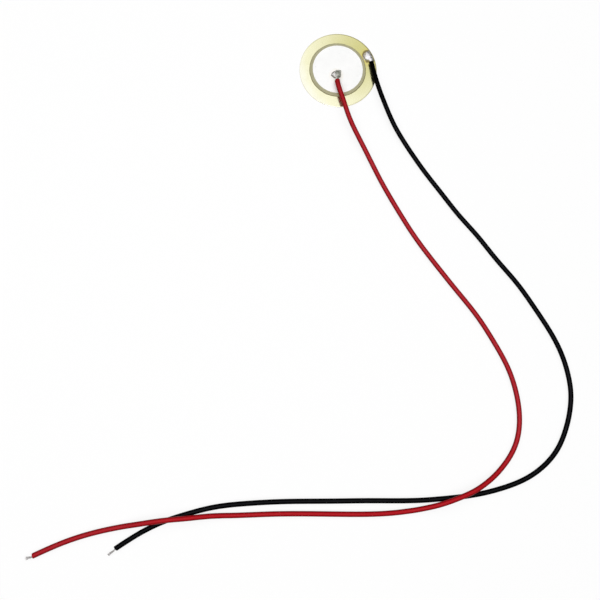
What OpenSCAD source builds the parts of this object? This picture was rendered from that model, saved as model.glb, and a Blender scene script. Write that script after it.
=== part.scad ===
/* [Brass plate] */
// Diameter of the brass plate
plate_d = 27; // [25.5:0.5:36]
// Thickness of the brass plate
plate_t = 0.3; // [0.1:0.05:0.6]
// Rolled-over edge that the blanking die leaves on the upper rim
plate_edge = 0.06; // [0.02:0.01:0.08]

/* [Ceramic disc] */
// Diameter of the ceramic disc
ceramic_d = 19.4; // [14:0.1:21]
// Thickness of the ceramic disc
ceramic_t = 0.22; // [0.1:0.02:0.4]
// Bare ceramic left round the edge of each silver electrode
electrode_margin = 0.95; // [0.4:0.05:2]
// Thickness of each silver electrode
electrode_t = 0.02; // [0.01:0.01:0.05]
// Thickness of the adhesive under the lower electrode
bond_t = 0.02; // [0.01:0.01:0.05]
// Width of the adhesive squeezed out round the ceramic
bead_w = 0.2; // [0.1:0.05:0.4]
// How far the squeezed-out adhesive climbs the ceramic's edge
bead_h = 0.16; // [0.08:0.02:0.2]

/* [Solder joints] */
// Sideways place of the joint on the silver electrode
centre_joint_x = -0.5; // [-2:0.1:2]
// Lengthways place of the joint on the silver electrode
centre_joint_y = -2.1; // [-3:0.1:-1]
// Length of the centre joint's foot, across its longest point
centre_solder_l = 3.4; // [2.4:0.1:4.2]
// Width of the centre joint's foot
centre_solder_w = 3; // [2.2:0.1:4]
// Height of the centre joint above the silver
centre_solder_h = 1.5; // [1.2:0.1:2]
// Direction of the rim joint from the plate's centre, in degrees
rim_joint_angle = 25; // [20:1:30]
// Length of the rim joint along the rim
rim_solder_l = 3.8; // [2.6:0.1:5]
// Height of the rim joint above the brass
rim_solder_h = 1.4; // [1.1:0.1:2]
// Bare brass left on each side of the rim joint
rim_solder_gap = 0.15; // [0.1:0.05:0.4]

/* [Leads] */
// Outer diameter of the insulation
wire_d = 1.6; // [1.2:0.05:2]
// Diameter of the tinned conductor
core_d = 0.5; // [0.3:0.05:0.7]
// Solder between the end of a conductor and the face it is soldered to
core_seat = 0.15; // [0.05:0.05:0.3]
// Bare conductor at the free end of the red lead
red_strip = 2.2; // [1:0.1:6]
// Bare conductor at the free end of the black lead
black_strip = 2.8; // [1:0.1:6]

/* [Hidden] */

plate_r = plate_d / 2;
ceramic_r = ceramic_d / 2;
electrode_r = ceramic_r - electrode_margin;
bond_top = plate_t + bond_t;
ceramic_base = bond_top + electrode_t;
ceramic_top = ceramic_base + ceramic_t;
silver_top = ceramic_top + electrode_t;
round_fn = 180;

// The rim joint fills the free brass between the adhesive and the rim, less a gap on each side
ring_inner = ceramic_r + bead_w;
rim_solder_w = plate_r - ring_inner - 2 * rim_solder_gap;
rim_joint_r = (plate_r + ring_inner) / 2;

// Where the end of each conductor sits
centre_joint = [centre_joint_x, centre_joint_y, silver_top + core_seat + core_d / 2];
rim_joint = [
    rim_joint_r * cos(rim_joint_angle), rim_joint_r * sin(rim_joint_angle),
    plate_t + core_seat + core_d / 2
];

// Solder: sides of each mound, rings up its height, how much of the foot is a thin flare,
// how fast the flare dies away, and the size left at the flat top
mound_sides = 28;
mound_rings = 9;
flare = 0.3;
flare_fade = 10;
crown = 0.16;

// Leads: sides of a tube, and how many points pass before a lead stops following its joint
tube_sides = 8;
follow_points = 8;

// Routes, as x, y and the height of the wire's underside above the bench in wire diameters.
// The first point is in the solder and the second is where the insulation starts.
red_route = [
    [-0.5, -2.1, 0.1], [-0.5, -4.2, 0.45], [0, -7, 0.75], [1.5, -12, 1], [2.5, -15.5, 1.1],
    [5, -22, 1], [7.5, -27, 0.7], [11, -34, 0.25], [14.5, -41, 0], [20, -51, 0],
    [25.5, -60, 0], [32, -69, 0], [38.5, -77.5, 0], [45, -86, 0], [50.5, -95, 0],
    [54.5, -103, 0], [57, -112, 0], [57.5, -119.5, 0], [56, -127, 0], [52, -133.5, 0.1],
    [46.5, -138.5, 0.65], [40.5, -142, 1.1], [35.5, -144, 1.1], [31, -145.5, 0.95],
    [25, -147, 0.35], [18.5, -148, 0], [0, -148.5, 0], [-14.5, -148.2, 0], [-22.5, -148.2, 0],
    [-37, -148.5, 0], [-41, -148.5, 0.3], [-50, -149, 1.05], [-56.5, -149.5, 1.1],
    [-63.5, -150.5, 0.75], [-69.5, -151.5, 0.15], [-79, -153.5, 0], [-87, -156, 0],
    [-95.8, -159.7, 0]
];
red_strip_heading = 205;
black_route = [
    [10.6, 5, -0.05], [11.5, 2.8, 0.25], [12, 0.5, 0.4], [12.6, -2.5, 0.65], [13.8, -7, 0.8],
    [15.3, -11.5, 0.8], [17, -16, 0.7], [19, -20.5, 0.5], [21.5, -25, 0.3], [25, -30.5, 0.05],
    [29, -36.5, 0], [34.5, -44, 0], [40.5, -52, 0], [46, -58.5, 0], [52.5, -67, 0],
    [59, -75, 0], [65, -84, 0], [69.5, -91.5, 0], [72.5, -98, 0], [74.5, -105.5, 0],
    [75, -111, 0], [74.5, -116, 0], [72.5, -123, 0], [69.5, -129, 0], [65, -134, 0],
    [59, -138, 0], [51, -141, 0], [42, -143, 0], [33, -144, 0], [25.5, -144.5, 0],
    [8, -144.5, 0], [-4, -144.5, 0], [-19.5, -144.5, 0], [-31.5, -145, 0], [-41, -146, 0],
    [-49.5, -148, 0], [-56, -150, 0], [-64.5, -154, 0], [-70.8, -157.9, 0]
];
black_strip_heading = 220;

function unit(v) = v / norm(v);

// Centre line of a lead: its route at height, the first points moved with the joint,
// and a last point at the end of the stripped conductor
function lead_path(route, joint, strip, strip_heading) =
    let (
        level = [for (q = route) [q.x, q.y, wire_d * (0.5 + q.z)]],
        shift = joint - level[0],
        line = [for (i = [0:len(level) - 1])
            level[i] + shift * min(1, max(0, 1 - (i - 1) / follow_points))],
        bare = strip * [cos(strip_heading), sin(strip_heading), 0]
    )
    concat(line, [line[len(line) - 1] + bare]);

red_path = lead_path(red_route, centre_joint, red_strip, red_strip_heading);
black_path = lead_path(black_route, rim_joint, black_strip, black_strip_heading);

// Direction of a path at point i, halfway between the stretches that meet there
function heading(path, i) =
    i == 0 ? unit(path[1] - path[0])
    : i == len(path) - 1 ? unit(path[i] - path[i - 1])
    : unit(unit(path[i + 1] - path[i]) + unit(path[i] - path[i - 1]));

// Corners of a ring square to the path at point i, with d across its flats and one flat down
function ring(path, i, d) =
    let (
        along = heading(path, i),
        side = unit(cross([0, 0, 1], along)),
        up = cross(along, side),
        r = d / 2 / cos(180 / tube_sides)
    )
    [for (j = [0:tube_sides - 1])
        let (a = (j + 0.5) * 360 / tube_sides)
        path[i] + r * (cos(a) * side + sin(a) * up)];

// Triangles of the wall between rings of n corners, the first corner being number base
function wall(n, rings, base = 0, inward = false) = [
    for (i = [0:rings - 2], j = [0:n - 1])
        let (a = base + i * n + j, b = base + i * n + (j + 1) % n, c = a + n, d = b + n)
        each inward ? [[a, b, c], [b, d, c]] : [[a, c, b], [b, c, d]]
];

// Triangles that close a ring, seen from the far end of the path or from its start
function cap(n, base, far) = [
    for (j = [1:n - 2])
        far ? [base, base + j + 1, base + j] : [base, base + j, base + j + 1]
];

// Triangles of the flat end between an outer ring and the bore
function end_face(n, outer, bore, far) = [
    for (j = [0:n - 1])
        let (k = (j + 1) % n)
        each far
            ? [[outer + j, bore + j, outer + k], [outer + k, bore + j, bore + k]]
            : [[outer + j, outer + k, bore + j], [outer + k, bore + k, bore + j]]
];

// Solid core along points first to last of a path
module core(path, first, last) {
    n = tube_sides;
    rings = last - first + 1;
    points = [for (i = [first:last]) each ring(path, i, core_d)];
    faces = concat(cap(n, 0, false), wall(n, rings), cap(n, (rings - 1) * n, true));
    polyhedron(points, faces, convexity = 10);
}

// Hollow sleeve that the core fills, along points first to last of a path
module sleeve(path, first, last) {
    n = tube_sides;
    rings = last - first + 1;
    bore = rings * n;
    outer_points = [for (i = [first:last]) each ring(path, i, wire_d)];
    bore_points = [for (i = [first:last]) each ring(path, i, core_d)];
    faces = concat(
        wall(n, rings), wall(n, rings, bore, true),
        end_face(n, 0, bore, false), end_face(n, bore - n, 2 * bore - n, true)
    );
    polyhedron(concat(outer_points, bore_points), faces, convexity = 10);
}

// Width of a mound at share t of its height: a thin flare at the foot under a rounded body
function mound_width(t) = (1 - flare) * sqrt(1 - t * t) + flare * exp(-flare_fade * t);

// Solder mound with a three-cornered foot l long and w wide, whose top leans by the vector lean
module mound(l, w, h, corner, lean) {
    n = mound_sides;
    heights = [for (i = [0:mound_rings - 1])
        let (s = i / (mound_rings - 1)) s * (1.5 - 0.5 * s) * (1 - crown * crown / 2)];
    points = [for (t = heights, j = [0:n - 1])
        let (a = j * 360 / n, size = mound_width(t) * (1 + corner * cos(3 * a)))
        [l / 2 * size * cos(a) + lean.x * t, w / 2 * size * sin(a) + lean.y * t, h * t]];
    faces = concat(cap(n, 0, false), wall(n, mound_rings), cap(n, (mound_rings - 1) * n, true));
    polyhedron(points, faces, convexity = 4);
}

module brass_plate() {
    color([0.86, 0.8, 0.5])
        rotate_extrude($fn = round_fn)
            polygon([
                [0, 0], [plate_r, 0], [plate_r, plate_t - plate_edge],
                [plate_r - plate_edge, plate_t], [0, plate_t]
            ]);
}

module bond_film() {
    color([0.6, 0.58, 0.35])
        rotate_extrude($fn = round_fn)
            polygon([
                [0, plate_t], [ring_inner, plate_t],
                [ceramic_r + bead_w / 3, plate_t + bead_h / 3],
                [ceramic_r, plate_t + bead_h], [ceramic_r, ceramic_base],
                [electrode_r, ceramic_base], [electrode_r, bond_top], [0, bond_top]
            ]);
}

module silver_disc(z) {
    color([0.94, 0.94, 0.93])
        translate([0, 0, z])
            cylinder(h = electrode_t, r = electrode_r, $fn = round_fn);
}

module lower_electrode() { silver_disc(bond_top); }

module upper_electrode() { silver_disc(ceramic_top); }

module ceramic_disc() {
    color([0.63, 0.61, 0.47])
        translate([0, 0, ceramic_base])
            cylinder(h = ceramic_t, r = ceramic_r, $fn = round_fn);
}

module centre_solder() {
    color([0.72, 0.72, 0.72])
        difference() {
            translate([centre_joint.x, centre_joint.y, silver_top])
                rotate(180)
                    mound(centre_solder_l, centre_solder_w, centre_solder_h, 0.16, [-0.5, 0.15]);
            core(red_path, 0, 1);
        }
}

module rim_solder() {
    color([0.72, 0.72, 0.72])
        difference() {
            translate([rim_joint.x, rim_joint.y, plate_t])
                rotate(rim_joint_angle)
                    mound(rim_solder_w, rim_solder_l, rim_solder_h, 0.05, [0.1, -0.15]);
            core(black_path, 0, 1);
        }
}

module red_conductor() { color([0.76, 0.75, 0.73]) core(red_path, 0, len(red_path) - 1); }

module red_insulation() { color([0.74, 0.09, 0.14]) sleeve(red_path, 1, len(red_path) - 2); }

module black_conductor() { color([0.76, 0.75, 0.73]) core(black_path, 0, len(black_path) - 1); }

module black_insulation() { color([0.05, 0.05, 0.06]) sleeve(black_path, 1, len(black_path) - 2); }

brass_plate();
bond_film();
lower_electrode();
ceramic_disc();
upper_electrode();
centre_solder();
rim_solder();
red_conductor();
red_insulation();
black_conductor();
black_insulation();
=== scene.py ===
import math

import bmesh
import bpy
import numpy as np
from mathutils import Matrix, Vector, noise


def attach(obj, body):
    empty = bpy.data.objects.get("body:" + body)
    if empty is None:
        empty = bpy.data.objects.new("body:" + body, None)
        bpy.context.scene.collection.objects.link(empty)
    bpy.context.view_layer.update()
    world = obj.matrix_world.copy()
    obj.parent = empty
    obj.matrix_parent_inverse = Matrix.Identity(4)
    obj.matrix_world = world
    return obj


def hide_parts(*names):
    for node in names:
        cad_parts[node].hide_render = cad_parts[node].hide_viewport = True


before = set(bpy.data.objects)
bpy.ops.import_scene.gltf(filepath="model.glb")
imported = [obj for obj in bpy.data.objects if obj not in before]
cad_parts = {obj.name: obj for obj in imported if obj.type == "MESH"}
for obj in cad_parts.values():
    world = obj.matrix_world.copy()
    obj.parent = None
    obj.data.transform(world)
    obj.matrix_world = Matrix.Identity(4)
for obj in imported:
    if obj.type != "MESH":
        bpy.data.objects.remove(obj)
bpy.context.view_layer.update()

mm = 0.001
scene = bpy.context.scene
scene.view_settings.view_transform = "Standard"

# looks down on the disc with both leads in view; angles are in degrees
cameraSettings = {
    "target": (-13.57 * mm, -70.66 * mm, 0.0),
    "distance": 232.65 * mm,
    "azimuth": -15.0,
    "elevation": 80.5,
    "roll": 15.0,
    "lens": 42.0,
    "shiftY": -0.05,
}


def makeCamera(settings):
    azimuth = math.radians(settings["azimuth"])
    elevation = math.radians(settings["elevation"])
    roll = math.radians(settings["roll"])
    back = Vector((
        math.sin(azimuth) * math.cos(elevation),
        -math.cos(azimuth) * math.cos(elevation),
        math.sin(elevation),
    ))
    right = Vector((0, 0, 1)).cross(back).normalized()
    up = back.cross(right)
    cameraRight = right * math.cos(roll) + up * math.sin(roll)
    cameraUp = up * math.cos(roll) - right * math.sin(roll)
    data = bpy.data.cameras.new("camera")
    data.lens = settings["lens"]
    data.sensor_width = 36.0
    data.shift_y = settings["shiftY"]
    data.clip_start = 0.01
    camera = bpy.data.objects.new("camera", data)
    scene.collection.objects.link(camera)
    turned = Matrix((cameraRight, cameraUp, back)).transposed().to_4x4()
    place = Vector(settings["target"]) + back * settings["distance"]
    camera.matrix_world = Matrix.Translation(place) @ turned
    scene.camera = camera


makeCamera(cameraSettings)
print("camera made")


def addMesh(name, bm, material=None):
    mesh = bpy.data.meshes.new(name)
    bm.to_mesh(mesh)
    bm.free()
    if material:
        mesh.materials.append(material)
    made = bpy.data.objects.new(name, mesh)
    scene.collection.objects.link(made)
    return made


def keepPiece(name, bm, material, smoothAngle):
    # shades the mesh smooth, with sharp edges past smoothAngle, and puts it in the scene
    limit = math.radians(smoothAngle)
    for face in bm.faces:
        face.smooth = True
    for edge in bm.edges:
        if edge.is_manifold:
            edge.smooth = edge.calc_face_angle(0.0) < limit
    piece = addMesh(name, bm, material)
    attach(piece, "root")
    return piece


def spinProfile(profile, segments):
    # turns an outline of (radius, height) in millimetres round the Z axis
    bm = bmesh.new()
    corners = [bm.verts.new((radius * mm, 0, height * mm)) for radius, height in profile]
    edges = [bm.edges.new(pair) for pair in zip(corners, corners[1:])]
    bmesh.ops.spin(
        bm, geom=corners + edges, cent=(0, 0, 0), axis=(0, 0, 1),
        angle=2 * math.pi, steps=segments, use_merge=True,
    )
    bmesh.ops.remove_doubles(bm, verts=bm.verts, dist=1e-7)
    bmesh.ops.recalc_face_normals(bm, faces=bm.faces)
    return bm


def wobble(point, scale, seed):
    # smooth noise from -1 to 1 at a point in metres, with features 1/scale millimetres across
    return noise.noise(Vector(point) / mm * scale + Vector((seed, seed * 1.7, -seed)))


def offMiddle(vert):
    # distance from the Z axis in millimetres
    return math.hypot(vert.co.x, vert.co.y) / mm


def spread(vert, factor):
    # moves a vertex out from the Z axis, or in
    vert.co.x *= factor
    vert.co.y *= factor


def setInputs(tree, node, values):
    # a socket is linked, and anything else is set as the input's own value
    for key, value in values.items():
        if isinstance(value, bpy.types.NodeSocket):
            tree.links.new(value, node.inputs[key])
        else:
            node.inputs[key].default_value = value


def addNode(tree, kind, inputs, **settings):
    made = tree.nodes.new(kind)
    for key, value in settings.items():
        setattr(made, key, value)
    setInputs(tree, made, inputs)
    return made


def calc(tree, operation, *values):
    inputs = dict(enumerate(values))
    return addNode(tree, "ShaderNodeMath", inputs, operation=operation).outputs[0]


def measure(tree, operation, *vectors):
    # one number out of vectors, as LENGTH, DISTANCE or DOT_PRODUCT
    inputs = dict(enumerate(vectors))
    return addNode(tree, "ShaderNodeVectorMath", inputs, operation=operation).outputs["Value"]


def stretch(tree, place, scales):
    inputs = {0: place, 1: scales}
    return addNode(tree, "ShaderNodeVectorMath", inputs, operation="MULTIPLY").outputs[0]


def offAxis(tree, place):
    return measure(tree, "LENGTH", stretch(tree, place, (1.0, 1.0, 0.0)))


def heightOf(tree, place):
    return addNode(tree, "ShaderNodeSeparateXYZ", {0: place}).outputs[2]


def remap(tree, value, low, high, toLow=0.0, toHigh=1.0, **settings):
    made = addNode(tree, "ShaderNodeMapRange", {
        "Value": value, "From Min": low, "From Max": high, "To Min": toLow, "To Max": toHigh,
    }, **settings)
    return made.outputs[0]


def noiseAt(tree, place, scale, detail, roughness):
    made = addNode(tree, "ShaderNodeTexNoise", {
        "Vector": place, "Scale": scale, "Detail": detail, "Roughness": roughness,
    })
    return made.outputs[0]


def layTones(tree, colour, layers):
    # lays (mask, colour, strength) over the first colour, one after another
    for mask, tone, strength in layers:
        if strength != 1.0:
            mask = calc(tree, "MULTIPLY", mask, strength)
        made = addNode(tree, "ShaderNodeMix", {0: mask, 6: colour, 7: tone}, data_type="RGBA")
        colour = made.outputs[2]
    return colour


def rgb(red, green, blue):
    # a colour written as it shows on screen, 0 to 255
    def linear(value):
        value /= 255
        return value / 12.92 if value <= 0.04045 else ((value + 0.055) / 1.055) ** 2.4

    return (linear(red), linear(green), linear(blue), 1.0)


def newGroup(name, defaults):
    # takes a place and the values in defaults, and gives a mask from 0 to 1
    tree = bpy.data.node_groups.new(name, "ShaderNodeTree")
    tree.interface.new_socket("Vector", in_out="INPUT", socket_type="NodeSocketVector")
    for label, value in defaults.items():
        kind = "NodeSocketVector" if isinstance(value, tuple) else "NodeSocketFloat"
        socket = tree.interface.new_socket(label, in_out="INPUT", socket_type=kind)
        socket.default_value = value
    tree.interface.new_socket("Mask", in_out="OUTPUT", socket_type="NodeSocketFloat")
    given = tree.nodes.new("NodeGroupInput").outputs
    return tree, given, tree.nodes.new("NodeGroupOutput").inputs["Mask"]


def useGroup(tree, group, place, values):
    inputs = {"Vector": place, **values}
    return addNode(tree, "ShaderNodeGroup", inputs, node_tree=group).outputs["Mask"]


def buildSpeckle():
    # scattered small spots, as of dust, pits or grains
    tree, given, out = newGroup("speckle", {"Scale": 2.0, "Size": 0.2, "Share": 0.3})
    cells = addNode(tree, "ShaderNodeTexVoronoi", {
        "Vector": given["Vector"], "Scale": given["Scale"],
    }).outputs
    softEdge = calc(tree, "MULTIPLY", given["Size"], 0.45)
    spot = remap(tree, cells["Distance"], softEdge, given["Size"], 1.0, 0.0)
    chance = addNode(tree, "ShaderNodeSeparateColor", {"Color": cells["Color"]}).outputs
    chosen = calc(tree, "LESS_THAN", chance[0], given["Share"])
    strength = calc(tree, "MULTIPLY", chosen, chance[1])
    tree.links.new(calc(tree, "MULTIPLY", spot, strength), out)
    return tree


def buildDrawnLines():
    # fine parallel lines: Stretch sets how many to the millimetre on each axis
    tree, given, out = newGroup("drawnLines", {"Stretch": (9.0, 0.3, 9.0)})
    drawn = stretch(tree, given["Vector"], given["Stretch"])
    lines = noiseAt(tree, drawn, scale=1.0, detail=4.0, roughness=0.65)
    tree.links.new(remap(tree, lines, 0.3, 0.7), out)
    return tree


def buildHalo():
    # 1 near the centre and 0 away from it, with a ragged edge
    tree, given, out = newGroup("halo", {
        "Centre": (0.0, 0.0, 0.0), "Radius": 2.0, "Softness": 0.3, "Ragged": 0.3, "Grain": 1.0,
    })
    flat = stretch(tree, given["Vector"], (1.0, 1.0, 0.0))
    away = measure(tree, "DISTANCE", flat, given["Centre"])
    rough = noiseAt(tree, given["Vector"], given["Grain"], detail=3.0, roughness=0.6)
    shifted = calc(tree, "SUBTRACT", rough, 0.5)
    pushed = calc(tree, "MULTIPLY_ADD", shifted, given["Ragged"], away)
    low = calc(tree, "SUBTRACT", given["Radius"], given["Softness"])
    high = calc(tree, "ADD", given["Radius"], given["Softness"])
    fade = remap(tree, pushed, low, high, 1.0, 0.0, interpolation_type="SMOOTHSTEP")
    tree.links.new(fade, out)
    return tree


speckle = buildSpeckle()
drawnLines = buildDrawnLines()
halo = buildHalo()


def startMaterial(name):
    material = bpy.data.materials.new(name)
    material.use_nodes = True
    tree = material.node_tree
    return material, tree, tree.nodes["Principled BSDF"]


def placeOnPiece(tree, turn=0.0):
    # the piece's own coordinates, in millimetres
    coords = addNode(tree, "ShaderNodeTexCoord", {})
    placed = addNode(tree, "ShaderNodeMapping", {
        "Vector": coords.outputs["Object"], "Scale": (1000.0, 1000.0, 1000.0),
        "Rotation": (0.0, 0.0, math.radians(turn)),
    })
    return placed.outputs[0]


def placeOnWire(tree):
    # the place on the straightened wire, in millimetres, with Z along it
    return addNode(tree, "ShaderNodeAttribute", {}, attribute_name="lay").outputs["Vector"]


def bumpFrom(tree, height, depth, **under):
    # height runs from 0 to 1 and depth is in millimetres; under may give a Normal to add to
    inputs = {"Height": height, "Distance": depth * mm, **under}
    return addNode(tree, "ShaderNodeBump", inputs).outputs[0]


wireDiameter = 1.6  # millimetres, of both leads

# A route holds x, y and the lift off the bench in wire diameters. It starts in the joint, and
# the sleeve starts at its second point. The stretch of painted shade, a darker colour on part of
# the lead, is measured along the lead.
redLead = {
    "route": [
        [-0.5, -2.1, 0.1], [-0.5, -4.2, 0.45], [0, -7, 0.75], [1.5, -12, 1], [2.5, -15.5, 1.1],
        [5, -22, 1], [7.5, -27, 0.7], [11, -34, 0.25], [14.5, -41, 0], [20, -51, 0],
        [25.5, -60, 0], [32, -69, 0], [38.5, -77.5, 0], [45, -86, 0], [50.5, -95, 0],
        [54.5, -103, 0], [57, -112, 0], [57.5, -119.5, 0], [56, -127, 0], [52, -133.5, 0.1],
        [46.5, -138.5, 0.65], [40.5, -142, 1.1], [35.5, -144, 1.1], [31, -145.5, 0.95],
        [25, -147, 0.35], [18.5, -148, 0], [0, -148.5, 0], [-14.5, -148.2, 0], [-22.5, -148.2, 0],
        [-37, -148.5, 0], [-41, -148.5, 0.3], [-50, -149, 1.05], [-56.5, -149.5, 1.1],
        [-63.5, -150.5, 0.75], [-69.5, -151.5, 0.15], [-79, -153.5, 0], [-87, -156, 0],
        [-95.8, -159.7, 0],
    ],
    "jacketRadius": 0.83,
    "endSwell": 0.06,
    "swellLength": 8.0,
    "strip": 2.2,
    "stripHeading": 205,
    "tipWave": [(0.0, 0.0), (0.35, 0.16), (0.8, 0.1), (1.4, -0.08), (2.2, -0.2)],
    "splay": 0.3,
    "startTilt": 6.0,
    "endTilt": -20.0,
    "colour": rgb(186, 43, 53),
    "shade": rgb(174, 33, 43),
    # a darker colour over a stretch of the lead, as painted shade
    "paintedStretchShade": rgb(180, 15, 27),
    "paintedShadeStretch": (145.0, 264.0),
    "cut": rgb(150, 20, 28),
    # painted shade on the flanks, darker as they turn from the view, round a crown left lighter as
    # a painted highlight
    "paintedFlankShade": rgb(143, 6, 14),
    "paintedCrownWidth": 0.24,
    "dust": 0.25,
    "dustColour": rgb(225, 120, 120),
    "roughness": 0.3,
    "gloss": 0.06,
}
blackLead = {
    "route": [
        [10.6, 5, -0.05], [11.5, 2.8, 0.25], [12, 0.5, 0.4], [12.6, -2.5, 0.65],
        [13.8, -7, 0.8], [15.3, -11.5, 0.8], [17, -16, 0.7], [19, -20.5, 0.5],
        [21.5, -25, 0.3], [25, -30.5, 0.05], [29, -36.5, 0], [34.5, -44, 0], [40.5, -52, 0],
        [46, -58.5, 0], [52.5, -67, 0], [59, -75, 0], [65, -84, 0], [69.5, -91.5, 0],
        [72.5, -98, 0], [74.5, -105.5, 0], [75, -111, 0], [74.5, -116, 0], [72.5, -123, 0],
        [69.5, -129, 0], [65, -134, 0], [59, -138, 0], [51, -141, 0], [42, -143, 0],
        [33, -144, 0], [25.5, -144.5, 0], [8, -144.5, 0], [-4, -144.5, 0], [-19.5, -144.5, 0],
        [-31.5, -145, 0], [-41, -146, 0], [-49.5, -148, 0], [-56, -150, 0], [-64.5, -154, 0],
        [-70.8, -157.9, 0],
    ],
    "jacketRadius": 0.81,
    "endSwell": 0.02,
    "swellLength": 1.2,
    "strip": 2.8,
    "stripHeading": 220,
    "tipWave": [(0.0, 0.0), (0.35, 0.12), (1.2, 0.13), (2.0, 0.05), (2.8, 0.05)],
    "splay": 0.17,
    "startTilt": -15.0,
    "endTilt": -4.0,
    "colour": rgb(32, 32, 36),
    "shade": rgb(20, 20, 23),
    # a darker colour over a stretch of the lead, as painted shade
    "paintedStretchShade": rgb(17, 17, 21),
    "paintedShadeStretch": (236.0, 268.0),
    "cut": rgb(14, 14, 15),
    # painted shade on the flanks, darker as they turn from the view, round a crown left lighter as
    # a painted highlight
    "paintedFlankShade": rgb(0, 0, 0),
    "paintedCrownWidth": 0.12,
    "dust": 0.2,
    "dustColour": rgb(90, 90, 90),
    "roughness": 0.27,
    "gloss": 0.012,
}


def splineSlopes(t, y):
    # slopes of the natural cubic spline through y at t
    gaps = np.diff(t)
    rises = np.diff(y) / gaps
    count = len(t)
    matrix = np.zeros((count, count))
    target = np.zeros(count)
    matrix[0, :2] = [2, 1]
    target[0] = 3 * rises[0]
    matrix[-1, -2:] = [1, 2]
    target[-1] = 3 * rises[-1]
    for i in range(1, count - 1):
        matrix[i, i - 1] = gaps[i]
        matrix[i, i] = 2 * (gaps[i - 1] + gaps[i])
        matrix[i, i + 1] = gaps[i - 1]
        target[i] = 3 * (gaps[i] * rises[i - 1] + gaps[i - 1] * rises[i])
    return np.linalg.solve(matrix, target)


def steadySlopes(t, y):
    # slopes that never carry the curve past its own points, so a lead stays on the bench
    gaps = np.diff(t)
    rises = np.diff(y) / gaps
    slopes = np.zeros(len(t))
    slopes[0] = rises[0]
    slopes[-1] = rises[-1]
    for i in range(1, len(t) - 1):
        if rises[i - 1] * rises[i] > 0:
            before = 2 * gaps[i] + gaps[i - 1]
            after = gaps[i] + 2 * gaps[i - 1]
            slopes[i] = (before + after) / (before / rises[i - 1] + after / rises[i])
    return slopes


def hermite(t, y, slopes, at):
    i = np.clip(np.searchsorted(t, at, side="right") - 1, 0, len(t) - 2)
    gap = t[i + 1] - t[i]
    u = (at - t[i]) / gap
    return (
        (2 * u**3 - 3 * u**2 + 1) * y[i] + (u**3 - 2 * u**2 + u) * gap * slopes[i]
        + (3 * u**2 - 2 * u**3) * y[i + 1] + (u**3 - u**2) * gap * slopes[i + 1]
    )


def travelled(points):
    # length along a row of points, at each of them
    return np.concatenate([[0], np.cumsum(np.linalg.norm(np.diff(points, axis=0), axis=1))])


def layLead(lead):
    # centre line of a lead in millimetres, to be read by the length travelled along it
    step = 0.1
    points = np.array([
        [x, y, lead["jacketRadius"] + wireDiameter * lift] for x, y, lift in lead["route"]
    ], float)
    t = travelled(points)
    fine = np.append(np.arange(0, t[-1], step), t[-1])
    columns = []
    for axis, slopesOf in enumerate([splineSlopes, splineSlopes, steadySlopes]):
        column = points[:, axis]
        columns.append(hermite(t, column, slopesOf(t, column), fine))
    line = np.stack(columns, axis=1)
    start = int(np.searchsorted(fine, t[1]))
    heading = math.radians(lead["stripHeading"])
    along = np.array([math.cos(heading), math.sin(heading), 0.0])
    aside = np.array([-math.sin(heading), math.cos(heading), 0.0])
    waveAt, waves = np.array(lead["tipWave"], float).T
    steps = np.arange(step, lead["strip"] + 0.001, step)
    sway = hermite(waveAt, waves, splineSlopes(waveAt, waves), steps)
    tip = line[-1] + steps[:, None] * along + sway[:, None] * aside
    whole = np.concatenate([line, tip])
    at = travelled(whole)
    return {
        "points": whole, "at": at, "total": at[-1],
        "jacketStart": at[start], "jacketEnd": at[len(line) - 1],
    }


def pointAt(line, s):
    return Vector([float(np.interp(s, line["at"], line["points"][:, i])) for i in range(3)])


def frameAt(line, s, radius, tilt=0.0):
    # a circle of that radius square to the line, as a matrix in metres
    reach = 0.4
    ahead = pointAt(line, min(s + reach, line["total"]))
    behind = pointAt(line, max(s - reach, 0))
    along = (ahead - behind).normalized()
    side = Vector((0, 0, 1)).cross(along).normalized()
    up = along.cross(side)
    if tilt:
        turn = Matrix.Rotation(math.radians(tilt), 3, up)
        along = turn @ along
        side = turn @ side
    turned = Matrix((side, up, along)).transposed().to_4x4()
    size = Matrix.Scale(radius * mm, 4)
    return Matrix.Translation(pointAt(line, s) * mm) @ turned @ size


def sweepRings(bm, rings, sides, lay, closed=False):
    # draws a circle along a list of (matrix, radius, length along), ring after ring, and joins
    # or caps its ends; lay keeps each point's place on the straightened wire, in millimetres
    made = bmesh.ops.create_circle(bm, segments=sides, radius=1.0, matrix=rings[0][0])
    verts = made["verts"]
    edges = list({edge for vert in verts for edge in vert.link_edges})
    first = edges
    before = None
    for matrix, radius, s in rings:
        if before is not None:
            grown = bmesh.ops.extrude_edge_only(bm, edges=edges)["geom"]
            verts = [item for item in grown if isinstance(item, bmesh.types.BMVert)]
            known = set(verts)
            edges = [
                item for item in grown
                if isinstance(item, bmesh.types.BMEdge) and set(item.verts) <= known
            ]
            bmesh.ops.transform(bm, matrix=matrix @ before.inverted(), verts=verts)
        straight = matrix.inverted()
        for vert in verts:
            flat = straight @ vert.co
            vert[lay] = Vector((flat.x * radius, flat.y * radius, s))
        before = matrix
    if closed:
        bmesh.ops.bridge_loops(bm, edges=first + edges)
    else:
        bmesh.ops.edgeloop_fill(bm, edges=first)
        bmesh.ops.edgeloop_fill(bm, edges=edges)


redLine = layLead(redLead)
blackLine = layLead(blackLead)
print("routes", round(redLine["total"], 1), round(blackLine["total"], 1))


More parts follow.
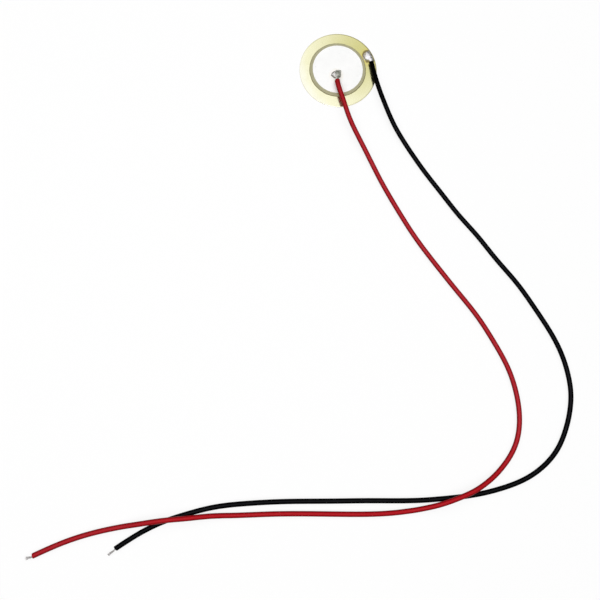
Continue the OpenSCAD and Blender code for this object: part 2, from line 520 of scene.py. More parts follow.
def insulationMaterial(name, look):
    # vinyl with fine lines along it, some dust, a stretch of painted shade, painted shade on the
    # flanks round a lighter crown that is a painted highlight, and darker cut ends
    material, tree, shader = startMaterial(name)
    place = placeOnWire(tree)
    drawn = useGroup(tree, drawnLines, place, {"Stretch": (7.0, 7.0, 0.12)})
    dust = useGroup(tree, speckle, place, {"Scale": 2.2, "Size": 0.16, "Share": 0.16})
    shade = remap(tree, noiseAt(tree, place, scale=0.35, detail=3.0, roughness=0.6), 0.3, 0.7)
    cut = remap(tree, offAxis(tree, place), 0.76, 0.70)
    along = heightOf(tree, place)
    # a stretch of the lead is painted darker, as painted shade
    first, last = look["paintedShadeStretch"]
    paintedShadeFade = 8.0
    paintedShadeStart = remap(tree, along, first - paintedShadeFade, first + paintedShadeFade)
    paintedShadeEnd = remap(tree, along, last + paintedShadeFade, last - paintedShadeFade)
    paintedStretchShade = calc(tree, "MULTIPLY", paintedShadeStart, paintedShadeEnd)
    # painted shade on the flanks as they turn from the view, with the crown between them left
    # lighter as a painted highlight
    facing = addNode(tree, "ShaderNodeLayerWeight", {"Blend": 0.5}).outputs["Facing"]
    paintedFlankShade = remap(tree, facing, 0.0, look["paintedCrownWidth"])
    colour = layTones(tree, look["colour"], [
        (shade, look["shade"], 1.0),
        (drawn, look["shade"], 0.35),
        (paintedStretchShade, look["paintedStretchShade"], 0.9),
        (dust, look["dustColour"], look["dust"]),
        (cut, look["cut"], 1.0),
        (paintedFlankShade, look["paintedFlankShade"], 1.0),
    ])
    roughness = remap(tree, shade, 0.0, 1.0, look["roughness"] - 0.04, look["roughness"] + 0.05)
    setInputs(tree, shader, {
        "Base Color": colour,
        "Roughness": calc(tree, "MULTIPLY_ADD", cut, 0.25, roughness),
        "Normal": bumpFrom(tree, calc(tree, "MULTIPLY_ADD", dust, 0.6, drawn), 0.006),
        "IOR": 1.5,
        "Specular IOR Level": look["gloss"],
    })
    return material


# both sleeves, in millimetres
jacketSettings = {
    "sides": 32,
    "step": 0.8,
    "boreStep": 2.0,
    "endLength": 0.5,
    "tiltLength": 0.4,
    "edgeRound": 0.13,
    "boreRadius": 0.262,
}


def endProfile(edge):
    # (depth, radius) of a cut end, from the bore round to the outside
    bore = jacketSettings["boreRadius"]
    corner = jacketSettings["edgeRound"]
    profile = [(0.10, bore), (0.02, bore + 0.02), (0.0, bore + 0.06), (0.0, 0.5)]
    for i in range(6):
        angle = math.radians(i * 18)
        profile.append((corner * (1 - math.cos(angle)), edge - corner + corner * math.sin(angle)))
    return profile


def makeJacket(name, line, lead, material, node):
    # a sleeve with squarely cut, slightly rounded ends and an open bore
    settings = jacketSettings
    start, end = line["jacketStart"], line["jacketEnd"]
    outer, swell, bore = lead["jacketRadius"], lead["endSwell"], settings["boreRadius"]
    endLength = settings["endLength"]
    between = end - start - 2 * endLength
    rings = []
    for depth, radius in endProfile(outer + swell):
        tilt = lead["startTilt"] * (1 - depth / settings["tiltLength"])
        rings.append((frameAt(line, start + depth, radius, tilt), radius, start + depth))
    steps = max(2, int(between / settings["step"]))
    for i in range(steps + 1):
        s = start + endLength + between * i / steps
        nearEnd = (s - start) / lead["swellLength"]
        radius = outer + swell * math.exp(-nearEnd * nearEnd * 3)
        rings.append((frameAt(line, s, radius), radius, s))
    for depth, radius in reversed(endProfile(outer)):
        tilt = lead["endTilt"] * (1 - depth / settings["tiltLength"])
        rings.append((frameAt(line, end - depth, radius, tilt), radius, end - depth))
    steps = int((end - start) / settings["boreStep"])
    for i in range(steps + 1):
        s = end - endLength - between * i / steps
        rings.append((frameAt(line, s, bore), bore, s))
    bm = bmesh.new()
    lay = bm.verts.layers.float_vector.new("lay")
    sweepRings(bm, rings, settings["sides"], lay, closed=True)
    bmesh.ops.recalc_face_normals(bm, faces=bm.faces)
    piece = keepPiece(name, bm, material, smoothAngle=40)
    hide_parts(node)
    return piece


# the tinned strands of both leads, in millimetres
strandSettings = {
    "count": 6,
    "radius": 0.086,
    "circle": 0.163,
    "layLength": 3.4,
    "insideLength": 2.0,
    "tipTaper": (0.97, 0.86, 0.55),
    "drift": 0.25,
    "looseness": 0.012,
    "raggedCut": 0.06,
    "step": 0.09,
    "sides": 10,
    "coreRadius": 0.235,
    "coreStep": 2.0,
    "coreSides": 12,
    "bright": rgb(208, 205, 204),
    "dullAndPaintedShade": rgb(150, 147, 146),
    "roughness": 0.27,
}


def strandMaterial(name, look):
    material, tree, shader = startMaterial(name)
    place = placeOnWire(tree)
    drawn = useGroup(tree, drawnLines, place, {"Stretch": (22.0, 22.0, 1.5)})
    shade = remap(tree, noiseAt(tree, place, scale=3.0, detail=3.0, roughness=0.6), 0.35, 0.65)
    setInputs(tree, shader, {
        "Base Color": layTones(tree, look["bright"], [(shade, look["dullAndPaintedShade"], 1.0)]),
        "Metallic": 1.0,
        "Roughness": remap(tree, shade, 0.0, 1.0, look["roughness"], look["roughness"] + 0.14),
        "Normal": bumpFrom(tree, drawn, 0.004),
    })
    return material


def strandRings(line, start, end, index, splay, seed):
    # one strand of the twist, or the middle one when index is None
    settings = strandSettings
    count = max(3, int((end - start) / settings["step"]))
    rings = []
    for i in range(count + 1):
        s = start + (end - start) * i / count
        radius = settings["radius"]
        if splay and i > count - 3:
            radius *= settings["tipTaper"][i - count + 2]
        if index is None:
            rings.append((frameAt(line, s, radius), radius, s))
            continue
        phase = 2 * math.pi * (index / settings["count"] + s / settings["layLength"])
        phase += settings["drift"] * noise.noise(Vector((s * 0.6, index * 3.1, seed)))
        loose = settings["looseness"] * noise.noise(Vector((s * 1.1, index * 5.7, seed + 4)))
        past = max(0.0, s - line["jacketEnd"]) / max(0.1, line["total"] - line["jacketEnd"])
        away = settings["circle"] + (loose + splay * past**1.5)
        outward = Vector((math.cos(phase), math.sin(phase), 0))
        shift = Matrix.Translation((away * math.cos(phase), away * math.sin(phase), 0))
        lean = math.atan(2 * math.pi * away / settings["layLength"])
        turn = Matrix.Rotation(lean, 4, outward)
        base = frameAt(line, s, 1.0)
        rings.append((base @ shift @ turn.inverted() @ Matrix.Scale(radius, 4), radius, s))
    return rings


def makeStrands(name, line, lead, material, node, seed):
    # twisted strands at both bare ends, and the plain core between them inside the sleeve
    settings = strandSettings
    inside = settings["insideLength"]
    bm = bmesh.new()
    lay = bm.verts.layers.float_vector.new("lay")
    spans = [
        (0.0, line["jacketStart"] + inside, 0.0),
        (line["jacketEnd"] - inside, line["total"], lead["splay"]),
    ]
    for start, end, splay in spans:
        for index in [None, *range(settings["count"])]:
            trim = 0.0
            if splay and index is not None:
                trim = settings["raggedCut"] * (index * 7 % 5) / 4
            rings = strandRings(line, start, end - trim, index, splay, seed)
            sweepRings(bm, rings, settings["sides"], lay)
    coreStart = line["jacketStart"] + inside * 0.8
    coreEnd = line["jacketEnd"] - inside * 0.8
    steps = int((coreEnd - coreStart) / settings["coreStep"])
    radius = settings["coreRadius"]
    core = [
        (frameAt(line, s, radius), radius, s) for s in np.linspace(coreStart, coreEnd, steps + 1)
    ]
    sweepRings(bm, core, settings["coreSides"], lay)
    bmesh.ops.recalc_face_normals(bm, faces=bm.faces)
    piece = keepPiece(name, bm, material, smoothAngle=50)
    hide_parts(node)
    return piece


tinnedStrand = strandMaterial("tinnedStrand", strandSettings)
redJacket = insulationMaterial("redJacket", redLead)
blackJacket = insulationMaterial("blackJacket", blackLead)

redSleeve = makeJacket("redSleeve", redLine, redLead, redJacket, "red_insulation")
blackSleeve = makeJacket("blackSleeve", blackLine, blackLead, blackJacket, "black_insulation")
redStrands = makeStrands("redStrands", redLine, redLead, tinnedStrand, "red_conductor", 1)
blackStrands = makeStrands("blackStrands", blackLine, blackLead, tinnedStrand, "black_conductor", 2)


print("leads made")

rimJoint = (10.604, 4.945, 0.0)

# Sizes are in millimetres. Each halo is a soft round patch of another tone.
brassSettings = {
    "segments": 288,
    "radius": 13.5,
    "thickness": 0.3,
    "waviness": 0.008,
    # the first three tones paint the light on the plate: a painted highlight to the lower left,
    # painted light over most of it and straw brass in painted shade to the upper right; the straw
    # tone also tints the tarnish and the rolled lines
    "paintedHighlightTone": rgb(238, 237, 224),
    "paintedLight": rgb(236, 234, 206),
    "strawAndPaintedShade": rgb(194, 190, 128),
    "gold": rgb(202, 186, 96),
    # a dark line painted as shade along the rim
    "paintedRimShade": rgb(120, 112, 66),
    "cutEdge": rgb(176, 160, 92),
    "stainAndPaintedShadow": rgb(110, 92, 50),
    "roughness": 0.15,
    # the next two halos place the painted light and the painted shade across the plate
    "paintedLightHalo": {"Centre": rimJoint, "Radius": 23.0, "Softness": 2.0, "Ragged": 2.0, "Grain": 0.25},
    "paintedShadeHalo": {
        "Centre": (9.5, 7.0, 0.0), "Radius": 13.5, "Softness": 13.5, "Ragged": 3.0, "Grain": 0.25,
    },
    "goldHalo": {"Centre": rimJoint, "Radius": 3.1, "Softness": 1.3, "Ragged": 1.2, "Grain": 0.7},
    "stainHalo": {
        "Centre": (10.35, 5.85, 0.0), "Radius": 1.85, "Softness": 0.2, "Ragged": 0.7, "Grain": 1.6,
    },
    # this halo is the solder's painted shadow on the brass, laid in the stain's colour
    "paintedShadowHalo": {
        "Centre": (10.15, 3.4, 0.0), "Radius": 0.55, "Softness": 0.12, "Ragged": 0.5, "Grain": 2.0,
    },
}


def brassMaterial(look):
    material, tree, shader = startMaterial("brassSheet")
    place = placeOnPiece(tree)
    turned = placeOnPiece(tree, turn=9)
    rolled = useGroup(tree, drawnLines, turned, {"Stretch": (6.0, 0.16, 6.0)})
    shear = useGroup(tree, drawnLines, place, {"Stretch": (7.0, 7.0, 0.8)})
    spots = useGroup(tree, speckle, place, {"Scale": 0.9, "Size": 0.12, "Share": 0.25})
    tarnish = remap(tree, noiseAt(tree, place, scale=0.16, detail=4.0, roughness=0.55), 0.35, 0.7)
    # painted light and painted shade across the plate, lighter to the lower left
    paintedLight = useGroup(tree, halo, place, look["paintedLightHalo"])
    strawAndPaintedShade = useGroup(tree, halo, place, look["paintedShadeHalo"])
    gold = useGroup(tree, halo, place, look["goldHalo"])
    stainAndPaintedShadow = useGroup(tree, halo, place, look["stainHalo"])
    # the solder's painted shadow on the brass, joined to the real stain
    paintedShadow = useGroup(tree, halo, place, look["paintedShadowHalo"])
    height = heightOf(tree, place)
    stainAndPaintedShadow = calc(tree, "MAXIMUM", stainAndPaintedShadow, paintedShadow)
    low, high = look["thickness"] - 0.1, look["thickness"] - 0.03
    stainAndPaintedShadow = calc(tree, "MULTIPLY", stainAndPaintedShadow, remap(tree, height, low, high))
    gold = calc(tree, "MULTIPLY", gold, remap(tree, height, low, high, 0.25, 1.0))
    away, rim = offAxis(tree, place), look["radius"]
    cutEdge = remap(tree, away, rim - 0.06, rim - 0.02)
    # painted shade along the rim, where the painted shade across the plate reaches
    paintedRimShade = calc(tree, "MULTIPLY", remap(tree, away, rim - 0.38, rim - 0.24), strawAndPaintedShade)
    colour = layTones(tree, look["paintedHighlightTone"], [
        (paintedLight, look["paintedLight"], 1.0),
        (strawAndPaintedShade, look["strawAndPaintedShade"], 1.0),
        (gold, look["gold"], 0.6),
        (tarnish, look["strawAndPaintedShade"], 0.12),
        (rolled, look["strawAndPaintedShade"], 0.12),
        (stainAndPaintedShadow, look["stainAndPaintedShadow"], 0.85),
        (spots, look["stainAndPaintedShadow"], 0.4),
        (paintedRimShade, look["paintedRimShade"], 0.9),
        (cutEdge, look["cutEdge"], 0.5),
    ])
    roughness = look["roughness"]
    for mask, added in [(rolled, 0.05), (tarnish, 0.06), (stainAndPaintedShadow, 0.25), (cutEdge, 0.22)]:
        roughness = calc(tree, "MULTIPLY_ADD", mask, added, roughness)
    edgeHeight = calc(tree, "MULTIPLY", shear, cutEdge)
    flatBump = bumpFrom(tree, rolled, 0.0007)
    setInputs(tree, shader, {
        "Base Color": colour,
        "Roughness": roughness,
        "Metallic": calc(tree, "MULTIPLY_ADD", stainAndPaintedShadow, -0.6, 1.0),
        "Normal": bumpFrom(tree, edgeHeight, 0.012, Normal=flatBump),
    })
    return material


def makeBrassPlate(settings):
    # a stamped sheet, rolled over at its edges and slightly torn along the middle of the cut
    radius, top = settings["radius"], settings["thickness"]
    profile = [
        (0, 0), (5, 0), (9, 0), (12, 0), (radius - 0.09, 0), (radius - 0.04, 0.004),
        (radius - 0.01, 0.014), (radius, 0.03), (radius, 0.085), (radius - 0.014, 0.105),
        (radius - 0.012, 0.19), (radius - 0.002, 0.215), (radius - 0.004, 0.235),
        (radius - 0.018, 0.265), (radius - 0.045, 0.288), (radius - 0.09, top - 0.003),
        (radius - 0.15, top),
    ]
    profile += [(radius - 0.15 - 0.42 * i, top) for i in range(1, 9)] + [(5, top), (0, top)]
    flatRadius, fadeWidth, tearRadius = 10.0, 0.6, radius - 0.1
    bm = spinProfile(profile, settings["segments"])
    for vert in bm.verts:
        away = offMiddle(vert)
        if vert.co.z > 0.29 * mm and away > flatRadius:
            fade = min(1.0, (away - flatRadius) / fadeWidth)
            lift = wobble((vert.co.x, vert.co.y, 0), 0.16, 3) - 0.35
            vert.co.z += settings["waviness"] * mm * fade * min(0.0, lift)
        if 0.08 * mm < vert.co.z < 0.22 * mm and away > tearRadius:
            spread(vert, 1 - 0.0004 * (1 + wobble(vert.co, 2.5, 5)))
    piece = keepPiece("brassPlate", bm, brassMaterial(settings), smoothAngle=50)
    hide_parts("brass_plate")


makeBrassPlate(brassSettings)
print("brass plate made")

# The ceramic is glued a little off the plate's middle, and the silver is printed off it too.
adhesiveSettings = {
    "offset": (-0.2, 0.06),
    "beadRadius": 9.9,
    "electrodeRadius": 8.75,
    "base": 0.3,
    "segments": 480,
    "colour": rgb(150, 142, 92),
    "thick": rgb(118, 108, 60),
    "bubble": rgb(190, 184, 140),
}


def shiftBy(vert, offset):
    vert.co.x += offset[0] * mm
    vert.co.y += offset[1] * mm


def adhesiveMaterial(look):
    material, tree, shader = startMaterial("adhesive")
    place = placeOnPiece(tree)
    thick = noiseAt(tree, place, scale=0.8, detail=3.0, roughness=0.6)
    bubbles = useGroup(tree, speckle, place, {"Scale": 5.0, "Size": 0.25, "Share": 0.4})
    setInputs(tree, shader, {
        "Base Color": layTones(tree, look["colour"], [
            (remap(tree, thick, 0.35, 0.65), look["thick"], 1.0),
            (bubbles, look["bubble"], 0.4),
        ]),
        "Roughness": remap(tree, thick, 0.3, 0.7, 0.25, 0.45),
        "Normal": bumpFrom(tree, bubbles, 0.01),
        "Coat Weight": 0.3,
        "Coat Roughness": 0.15,
    })
    return material


def makeAdhesive(settings):
    # a film under the ceramic, with a bead squeezed out round it
    bead, under, base = settings["beadRadius"], settings["electrodeRadius"], settings["base"]
    profile = [
        (0, base), (8, base), (bead, base), (bead - 0.02, 0.325), (bead - 0.06, 0.35),
        (bead - 0.11, 0.375), (bead - 0.155, 0.41), (bead - 0.185, 0.445),
        (bead - 0.2, 0.465), (bead - 0.2, 0.34), (under, 0.34), (under, 0.32), (0, 0.32),
    ]
    shiftedFrom, beadFrom, noiseRadius = 9.0, 9.7, 7
    bm = spinProfile(profile, settings["segments"])
    for vert in bm.verts:
        away = offMiddle(vert)
        if away > beadFrom + 0.01:
            angle = math.atan2(vert.co.y, vert.co.x)
            place = (math.cos(angle) * noiseRadius * mm, math.sin(angle) * noiseRadius * mm, 0)
            ragged = wobble(place, 0.9, 2) + 0.5 * wobble(place, 3, 8)
            spread(vert, 1 + (away - beadFrom) * 0.04 * ragged)
            vert.co.z += (vert.co.z - base * mm) * 0.25 * wobble(place, 1.3, 6)
        if away > shiftedFrom:
            shiftBy(vert, settings["offset"])
    piece = keepPiece("adhesiveBead", bm, adhesiveMaterial(settings), smoothAngle=50)
    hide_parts("bond_film")


ceramicSettings = {
    "offset": adhesiveSettings["offset"],
    "radius": 9.7,
    "base": 0.34,
    "top": 0.56,
    "segments": 480,
    "colour": rgb(166, 162, 127),
    "light": rgb(178, 174, 140),
    "dark": rgb(136, 130, 96),
}


def ceramicMaterial(look):
    material, tree, shader = startMaterial("ceramicBody")
    place = placeOnPiece(tree)
    cloud = noiseAt(tree, place, scale=0.7, detail=5.0, roughness=0.65)
    grain = noiseAt(tree, place, scale=14.0, detail=2.0, roughness=0.7)
    pits = useGroup(tree, speckle, place, {"Scale": 6.0, "Size": 0.22, "Share": 0.22})
    setInputs(tree, shader, {
        "Base Color": layTones(tree, look["colour"], [
            (remap(tree, cloud, 0.3, 0.7), look["light"], 1.0),
            (remap(tree, grain, 0.45, 0.75, 0.0, 0.5), look["dark"], 1.0),
            (pits, look["dark"], 0.8),
        ]),
        "Roughness": remap(tree, grain, 0.3, 0.7, 0.6, 0.78),
        "Normal": bumpFrom(tree, calc(tree, "MULTIPLY_ADD", pits, -0.8, grain), 0.006),
    })
    return material


def makeCeramic(settings):
    # a fired disc with a soft edge and a few small chips out of it
    radius, base, top = settings["radius"], settings["base"], settings["top"]
    profile = [
        (0, base), (8.75, base), (radius - 0.05, base), (radius - 0.012, base + 0.015),
        (radius, base + 0.05), (radius, top - 0.05), (radius - 0.008, top - 0.02),
        (radius - 0.03, top - 0.005), (radius - 0.06, top), (9.3, top), (8.9, top), (8.5, top),
        (5, top), (0, top),
    ]
    chippedFrom, fewChips = 9.55, 0.42
    bm = spinProfile(profile, settings["segments"])
    for vert in bm.verts:
        if offMiddle(vert) > chippedFrom and vert.co.z > (top - 0.06) * mm:
            chip = max(0.0, wobble(vert.co, 1.8, 9) - fewChips)
            spread(vert, 1 - 0.02 * chip)
            vert.co.z -= 0.12 * chip * mm
        shiftBy(vert, settings["offset"])
    piece = keepPiece("ceramicDisc", bm, ceramicMaterial(settings), smoothAngle=50)
    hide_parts("ceramic_disc")


silverSettings = {
    "offset": (-0.15, 0.22),
    "radius": 8.75,
    "base": 0.56,
    "top": 0.58,
    "segments": 480,
    "ragged": 0.0022,
    "colour": rgb(252, 252, 251),
    "shade": rgb(248, 248, 247),
    "speck": rgb(196, 194, 200),
    "fluxAndPaintedShade": rgb(238, 230, 214),
    "fluxHalo": {
        "Centre": (-0.7, -2.1, 0.0), "Radius": 2.5, "Softness": 0.5, "Ragged": 0.9, "Grain": 1.1,
    },
}


def silverMaterial(look):
    # a matt print that keeps the weave of its screen
    material, tree, shader = startMaterial("silverPrint")
    place = placeOnPiece(tree)
    turned = placeOnPiece(tree, turn=22)
    cloud = noiseAt(tree, place, scale=0.22, detail=4.0, roughness=0.6)
    grain = noiseAt(tree, place, scale=11.0, detail=3.0, roughness=0.7)
    warp = useGroup(tree, drawnLines, turned, {"Stretch": (5.0, 0.5, 5.0)})
    weft = useGroup(tree, drawnLines, turned, {"Stretch": (0.5, 5.0, 5.0)})
    specks = useGroup(tree, speckle, place, {"Scale": 0.62, "Size": 0.13, "Share": 0.42})
    fluxAndPaintedShade = useGroup(tree, halo, place, look["fluxHalo"])
    weave = calc(tree, "MULTIPLY", calc(tree, "ADD", warp, weft), 0.3)
    roughness = remap(tree, grain, 0.3, 0.7, 0.6, 0.74)
    setInputs(tree, shader, {
        "Base Color": layTones(tree, look["colour"], [
            (remap(tree, cloud, 0.35, 0.7), look["shade"], 1.0),
            (fluxAndPaintedShade, look["fluxAndPaintedShade"], 0.35),
            (specks, look["speck"], 0.8),
        ]),
        "Roughness": calc(tree, "MULTIPLY_ADD", fluxAndPaintedShade, -0.12, roughness),
        "Metallic": 0.15,
        "Normal": bumpFrom(tree, calc(tree, "MULTIPLY_ADD", grain, 0.6, weave), 0.004),
    })
    return material


def makeSilver(settings):
    radius, base, top = settings["radius"], settings["base"], settings["top"]
    profile = [
        (0, base), (radius - 0.03, base), (radius, base + 0.004), (radius - 0.012, top - 0.004),
        (radius - 0.05, top + 0.003), (radius - 0.16, top + 0.001), (radius - 0.4, top),
    ]
    profile += [(radius - 0.4 - 1.02 * i, top) for i in range(1, 8)] + [(0, top)]
    bm = spinProfile(profile, settings["segments"])
    for vert in bm.verts:
        if offMiddle(vert) > radius - 0.2:
            spread(vert, 1 + settings["ragged"] * wobble((vert.co.x, vert.co.y, 0), 2.2, 1))
        shiftBy(vert, settings["offset"])
    silver = silverMaterial(settings)
    piece = keepPiece("silverPrint", bm, silver, smoothAngle=50)
    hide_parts("upper_electrode")
    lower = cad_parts["lower_electrode"]  # the same print on the hidden face
    lower.data.materials.clear()
    lower.data.materials.append(silver)


makeAdhesive(adhesiveSettings)
makeCeramic(ceramicSettings)
makeSilver(silverSettings)
print("disc made")

# both solder joints; lengths are in millimetres
solderSettings = {
    "voxel": 0.05,
    "smoothing": 9,
    "lumps": 0.035,
    "collarGap": 0.12,
    "collarBalls": 9,
    "roughness": 0.24,
    "pit": rgb(90, 90, 86),
}
# The body is a hull of points from the plate's middle, with heights from the soldered face.
# A foot has its middle, size and thickness, and a collar its radius at the root and the tip.
# The shaded side and the dark edge are painted shade: each is a direction, x and y, with where the
# change lies along it and how soft.
centreSolder = {
    "body": [
        (-2.72, -2.08, 0.0), (-0.65, -0.05, 0.0), (1.05, -0.12, 0.0), (0.9, -1.7, 0.0),
        (0.8, -2.85, 0.0), (-0.8, -3.35, 0.0), (-1.9, -2.8, 0.0), (-0.7, -0.85, 0.95),
        (-0.85, -2.2, 1.3), (-0.75, -3.05, 1.2), (0.65, -0.75, 0.9), (0.55, -2.1, 1.15),
        (0.4, -2.9, 1.1),
    ],
    "foot": ((-0.75, -1.85), (1.8, 1.5), 0.07),
    "collar": (0.66, 0.5),
    "face": 0.58,
    "seed": 3,
    # past the side line the joint is dull and in painted shade, and its low edge is painted shade
    # in the flux's colour
    "paintedShadeSide": (1.0, 0.1, -1.3, 0.22),
    "paintedShadeEdge": (0.542, 0.84, -2.9, 0.22),
    "fluxHeight": (0.38, 0.24),
    "bright": rgb(248, 246, 242),
    "clouded": rgb(226, 220, 220),
    "dullAndPaintedShade": rgb(106, 109, 95),
    "fluxAndPaintedShade": rgb(92, 84, 70),
}
rimSolder = {
    "body": [
        (8.95, 5.15, 0.0), (9.35, 6.2, 0.0), (10.0, 7.0, 0.0), (10.85, 7.5, 0.0),
        (11.95, 5.65, 0.0), (12.78, 3.72, 0.0), (12.6, 3.15, 0.0), (11.1, 3.2, 0.0),
        (9.75, 3.5, 0.0), (9.2, 4.2, 0.0), (9.75, 5.8, 0.65), (9.5, 4.6, 0.75),
        (9.95, 3.8, 0.8), (10.9, 3.4, 1.2), (10.7, 6.5, 0.65), (12.05, 4.1, 0.9),
        (12.2, 3.35, 1.2), (10.8, 4.8, 1.25),
    ],
    "foot": ((10.3, 5.15), (1.6, 1.75), 0.06),
    "collar": (0.66, 0.55),
    "face": 0.3,
    "seed": 7,
    # past the side line the joint is dull and in painted shade, and its low edge is painted shade
    # in the flux's colour
    "paintedShadeSide": (0.906, 0.423, 12.1, 0.3),
    "paintedShadeEdge": (0.0, 1.0, 3.3, 0.15),
    "fluxHeight": (0.17, 0.08),
    "bright": rgb(246, 244, 244),
    "clouded": rgb(204, 199, 212),
    "dullAndPaintedShade": rgb(112, 112, 106),
    "fluxAndPaintedShade": rgb(96, 76, 42),
}


def solderMaterial(name, look):
    # bright on one side and dull in painted shade past a line across the joint, flux round the
    # foot, and painted shade in the flux's colour along a low edge
    material, tree, shader = startMaterial(name)
    place = placeOnPiece(tree)
    cloud = noiseAt(tree, place, scale=1.1, detail=4.0, roughness=0.6)
    grain = noiseAt(tree, place, scale=9.0, detail=3.0, roughness=0.65)
    pits = useGroup(tree, speckle, place, {"Scale": 3.5, "Size": 0.2, "Share": 0.2})
    ragged = calc(tree, "SUBTRACT", cloud, 0.5)
    # the joint past this line is painted shade, darker and duller
    across, along, edge, soft = look["paintedShadeSide"]
    side = measure(tree, "DOT_PRODUCT", place, (across, along, 0.0))
    side = calc(tree, "MULTIPLY_ADD", ragged, 0.9, side)
    patchy = calc(tree, "MULTIPLY_ADD", remap(tree, cloud, 0.4, 0.62), 0.3, 0.7)
    dullAndPaintedShade = calc(tree, "MULTIPLY", remap(tree, side, edge - soft, edge + soft), patchy)
    height = heightOf(tree, place)
    clear, full = [look["face"] + above for above in look["fluxHeight"]]
    fluxAndPaintedShade = remap(tree, calc(tree, "MULTIPLY_ADD", grain, 0.12, height), clear, full)
    # painted shade along a low edge of the joint, laid in the flux's colour
    across, along, edge, soft = look["paintedShadeEdge"]
    low = measure(tree, "DOT_PRODUCT", place, (across, along, 0.0))
    low = remap(tree, calc(tree, "MULTIPLY_ADD", ragged, 0.4, low), edge + soft, edge - soft)
    belowTop = remap(tree, height, look["face"] + 0.75, look["face"] + 0.5)
    fluxAndPaintedShade = calc(tree, "MAXIMUM", fluxAndPaintedShade, calc(tree, "MULTIPLY", low, belowTop))
    colour = layTones(tree, look["bright"], [
        (remap(tree, cloud, 0.42, 0.62, 0.0, 0.6), look["clouded"], 1.0),
        (dullAndPaintedShade, look["dullAndPaintedShade"], 1.0),
        (pits, solderSettings["pit"], 0.4),
        (fluxAndPaintedShade, look["fluxAndPaintedShade"], 0.85),
    ])
    base = solderSettings["roughness"]
    roughness = remap(tree, dullAndPaintedShade, 0.0, 1.0, base, base + 0.14)
    setInputs(tree, shader, {
        "Base Color": colour,
        "Roughness": calc(tree, "MULTIPLY_ADD", grain, 0.05, roughness),
        "Metallic": calc(tree, "MULTIPLY_ADD", fluxAndPaintedShade, -0.7, 1.0),
        "Normal": bumpFrom(tree, calc(tree, "MULTIPLY_ADD", pits, -0.6, grain), 0.006),
    })
    return material


def meltTogether(name, bm):
    # one closed skin round everything in bm, smoothed
    rough = addMesh(name + "Rough", bm)
    melt = rough.modifiers.new("melt", "REMESH")
    melt.mode = "VOXEL"
    melt.voxel_size = solderSettings["voxel"]
    bpy.context.view_layer.update()
    melted = rough.evaluated_get(bpy.context.evaluated_depsgraph_get())
    skin = bmesh.new()
    skin.from_mesh(melted.to_mesh())
    melted.to_mesh_clear()
    mesh = rough.data
    bpy.data.objects.remove(rough)
    bpy.data.meshes.remove(mesh)
    for _ in range(solderSettings["smoothing"]):
        bmesh.ops.smooth_vert(
            skin, verts=skin.verts, factor=0.5, use_axis_x=True, use_axis_y=True, use_axis_z=True,
        )
    skin.normal_update()
    return skin


def makeSolder(name, blob, line, material, node):
    # a blunt hull, a thin wetted foot and a collar round the conductor, melted into one
    face = blob["face"]
    bm = bmesh.new()
    corners = [bm.verts.new((x, y, z + face)) for x, y, z in blob["body"]]
    made = bmesh.ops.convex_hull(bm, input=corners)
    spare = [item for item in made["geom_interior"] if isinstance(item, bmesh.types.BMVert)]
    bmesh.ops.delete(bm, geom=spare, context="VERTS")
    middle, size, thick = blob["foot"]
    place = Matrix.Translation((*middle, face)) @ Matrix.Diagonal((*size, thick, 1.0))
    bmesh.ops.create_uvsphere(bm, u_segments=48, v_segments=16, radius=1.0, matrix=place)
    collarEnd = line["jacketStart"] - solderSettings["collarGap"]
    root, tip = blob["collar"]
    last = solderSettings["collarBalls"] - 1
    for i in range(last + 1):
        place = Matrix.Translation(pointAt(line, collarEnd * i / last))
        radius = root + (tip - root) * i / last
        bmesh.ops.create_icosphere(bm, subdivisions=3, radius=radius, matrix=place)
    bm = meltTogether(name, bm)
    seed = blob["seed"]
    for vert in bm.verts:
        lump = noise.noise(vert.co * 0.9 + Vector((seed, 0, 0)))
        lump += 0.4 * noise.noise(vert.co * 2.2 + Vector((0, seed, 0)))
        vert.co += vert.normal * solderSettings["lumps"] * lump
    cut = bmesh.ops.bisect_plane(
        bm, geom=bm.verts[:] + bm.edges[:] + bm.faces[:], plane_co=(0, 0, face),
        plane_no=(0, 0, 1), clear_inner=True, dist=1e-5,
    )
    rim = [item for item in cut["geom_cut"] if isinstance(item, bmesh.types.BMEdge)]
    bmesh.ops.edgeloop_fill(bm, edges=rim)
    bmesh.ops.recalc_face_normals(bm, faces=bm.faces)
    bmesh.ops.scale(bm, vec=(mm, mm, mm), verts=bm.verts)
    piece = keepPiece(name, bm, material, smoothAngle=60)
    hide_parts(node)


centreTin = solderMaterial("solderCentre", centreSolder)
rimTin = solderMaterial("solderRim", rimSolder)
makeSolder("centreSolder", centreSolder, redLine, centreTin, "centre_solder")
makeSolder("rimSolder", rimSolder, blackLine, rimTin, "rim_solder")
print("solder made")

# lengths are in metres
studioSettings = {
    "floorRadius": 1.5,
    "floorDrop": 0.00002,
    "wallHeight": 1.1,
    "shine": 0.8,
    "bounce": 0.2,
    "worldLevel": 0.3,
}
lampSettings = [
    {"name": "overheadSoftbox", "place": (-0.1, 0.0, 0.6), "size": 1.4, "level": 0.93},
    {"name": "topLight", "place": (-0.05, -0.08, 0.55), "size": 0.14, "level": 10.0},
]
white = (1.0, 1.0, 1.0, 1.0)


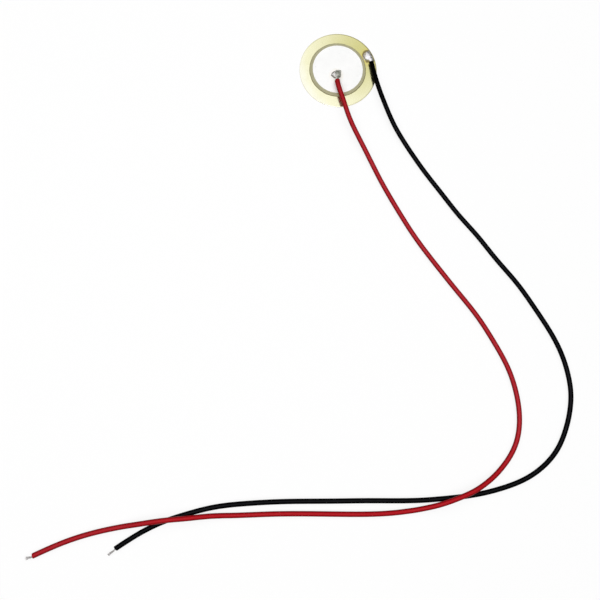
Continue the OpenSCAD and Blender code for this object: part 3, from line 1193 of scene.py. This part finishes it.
def studioMaterial(settings):
    # white where nothing shades it, and it still takes the object's shadow
    material, tree, shader = startMaterial("studioWhite")
    tree.nodes.remove(shader)
    path = addNode(tree, "ShaderNodeLightPath", {}).outputs
    seen = calc(tree, "MAXIMUM", path["Is Camera Ray"], path["Is Glossy Ray"])
    seen = calc(tree, "MAXIMUM", seen, path["Is Transmission Ray"])
    bounce = settings["bounce"]
    colour = layTones(tree, (bounce, bounce, bounce, 1.0), [(seen, white, 1.0)])
    diffuse = addNode(tree, "ShaderNodeBsdfDiffuse", {"Color": colour})
    glow = addNode(tree, "ShaderNodeEmission", {"Color": white, "Strength": 1.0})
    shine = calc(tree, "MULTIPLY", seen, settings["shine"])
    mix = addNode(tree, "ShaderNodeMixShader", {
        0: shine, 1: diffuse.outputs[0], 2: glow.outputs[0],
    })
    setInputs(tree, tree.nodes["Material Output"], {"Surface": mix.outputs[0]})
    return material


def makeStudio(settings):
    # a round floor that curves up into a low wall
    radius = settings["floorRadius"]
    outline = [(0, 0), (radius * 0.3, 0), (radius * 0.8, 0)]
    for i in range(9):
        angle = math.radians(i * 90 / 8)
        rise = radius * 0.2 * (1 - math.cos(angle))
        outline.append((radius * (0.8 + 0.2 * math.sin(angle)), rise))
    outline.append((radius, settings["wallHeight"]))
    drop = settings["floorDrop"]
    bm = spinProfile([(away / mm, (height - drop) / mm) for away, height in outline], 64)
    if bm.faces[:][0].normal.z < 0:
        bmesh.ops.reverse_faces(bm, faces=bm.faces)
    for face in bm.faces:
        face.smooth = True
    floor = addMesh("studioFloor", bm, studioMaterial(settings))


def makeLamp(settings):
    data = bpy.data.lights.new(settings["name"], "AREA")
    data.shape = "SQUARE"
    data.size = settings["size"]
    data.energy = settings["level"] * math.pi * settings["size"] ** 2
    lamp = bpy.data.objects.new(settings["name"], data)
    scene.collection.objects.link(lamp)
    lamp.matrix_world = Matrix.Translation(settings["place"])


makeStudio(studioSettings)
for lampLook in lampSettings:
    makeLamp(lampLook)
world = bpy.data.worlds.new("studioWorld")
world.use_nodes = True
background = world.node_tree.nodes["Background"]
setInputs(world.node_tree, background, {"Color": white, "Strength": studioSettings["worldLevel"]})
scene.world = world
print("studio made")
